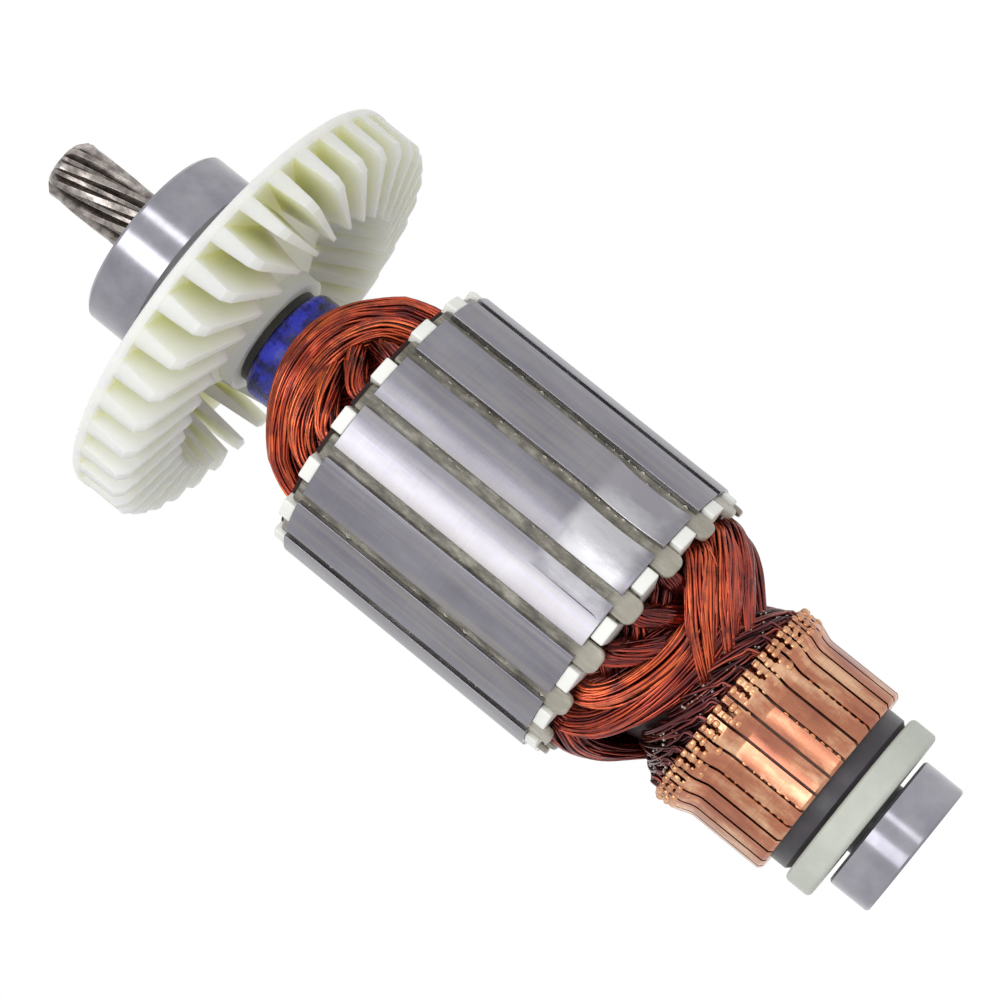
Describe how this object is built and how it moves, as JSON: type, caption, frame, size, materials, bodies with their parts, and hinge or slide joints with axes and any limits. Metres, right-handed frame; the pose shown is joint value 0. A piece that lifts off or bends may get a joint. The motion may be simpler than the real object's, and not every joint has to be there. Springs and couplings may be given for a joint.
{
  "type": "power saw motor armature",
  "caption": "Wound universal-motor armature with laminated core, commutator, cooling fan, two ball bearings and a helical drive pinion.",
  "frame": {"origin": "centre of the outer end face of the commutator-end bearing, on which the part stands", "axes": "+Z along the shaft from the commutator bearing towards the drive pinion; -Y is the side that the picture shows"},
  "size_m": [0.0696, 0.0696, 0.1609],
  "materials": {
    "bearing_steel": "ground and polished",
    "shield_steel": "pressed sheet",
    "ball_steel": "polished",
    "cage_nylon": "moulded",
    "shaft_steel": "hardened, cut teeth",
    "core_steel": "machined lamination edges",
    "insulator_ivory": "moulded",
    "liner_paper": "aramid paper",
    "wedge_fibre": "varnished fibre",
    "enamelled_wire": "glossy enamelled and varnished copper",
    "varnished_leads": "varnished copper",
    "commutator_copper": "turned copper",
    "mica": "undercut",
    "moulding_dark": "phenolic moulding",
    "bush_brass": "turned",
    "washer_pale": "moulded",
    "tube_brown": "insulating tube",
    "sleeve_blue": "glossy moulded",
    "ring_dark": "moulded",
    "spacer_steel": "turned",
    "fan_nylon": "moulded, slightly translucent"
  },
  "bodies": {
    "commutator_bearing_outer": {"commutator_bearing_outer_ring": "bearing_steel", "commutator_bearing_lower_shield": "shield_steel", "commutator_bearing_upper_shield": "shield_steel"},
    "rotor": {"commutator_bearing_inner_ring": "bearing_steel", "drive_bearing_inner_ring": "bearing_steel", "shaft": "shaft_steel", "lamination_stack": "core_steel", "end_insulator_commutator": "insulator_ivory", "end_insulator_drive": "insulator_ivory", "slot_liners": "liner_paper", "slot_conductors": "enamelled_wire", "slot_wedges": "wedge_fibre", "winding_head_drive": "enamelled_wire", "winding_head_commutator": "enamelled_wire", "commutator_leads": "varnished_leads", "commutator_bars": "commutator_copper", "commutator_mica": "mica", "commutator_moulding": "moulding_dark", "commutator_bush": "bush_brass", "insulating_washer": "washer_pale", "shaft_tube_commutator": "tube_brown", "shaft_sleeve_drive": "sleeve_blue", "bearing_spacer": "spacer_steel", "sleeve_ring": "ring_dark", "cooling_fan": "fan_nylon"},
    "commutator_bearing_cage": {"commutator_bearing_cage": "cage_nylon", "commutator_bearing_balls": "ball_steel"},
    "drive_bearing_outer": {"drive_bearing_outer_ring": "bearing_steel", "drive_bearing_lower_shield": "shield_steel", "drive_bearing_upper_shield": "shield_steel"},
    "drive_bearing_cage": {"drive_bearing_cage": "cage_nylon", "drive_bearing_balls": "ball_steel"}
  },
  "joints": [
    {"name": "rotor_spin", "type": "hinge", "parent": "commutator_bearing_outer", "child": "rotor", "pos_m": [0, 0, 0.0035], "axis": [0, 0, 1], "continuous": true},
    {"name": "commutator_cage_spin", "type": "hinge", "parent": "commutator_bearing_outer", "child": "commutator_bearing_cage", "pos_m": [0, 0, 0.0035], "axis": [0, 0, 1], "continuous": true},
    {"name": "drive_bearing_spin", "type": "hinge", "parent": "rotor", "child": "drive_bearing_outer", "pos_m": [0, 0, 0.1389], "axis": [0, 0, 1], "continuous": true},
    {"name": "drive_cage_spin", "type": "hinge", "parent": "rotor", "child": "drive_bearing_cage", "pos_m": [0, 0, 0.1389], "axis": [0, 0, 1], "continuous": true}
  ],
  "couplings": [
    {"joint": "commutator_cage_spin", "follows": "rotor_spin", "ratio": 0.3677},
    {"joint": "drive_cage_spin", "follows": "drive_bearing_spin", "ratio": 0.619}
  ]
}
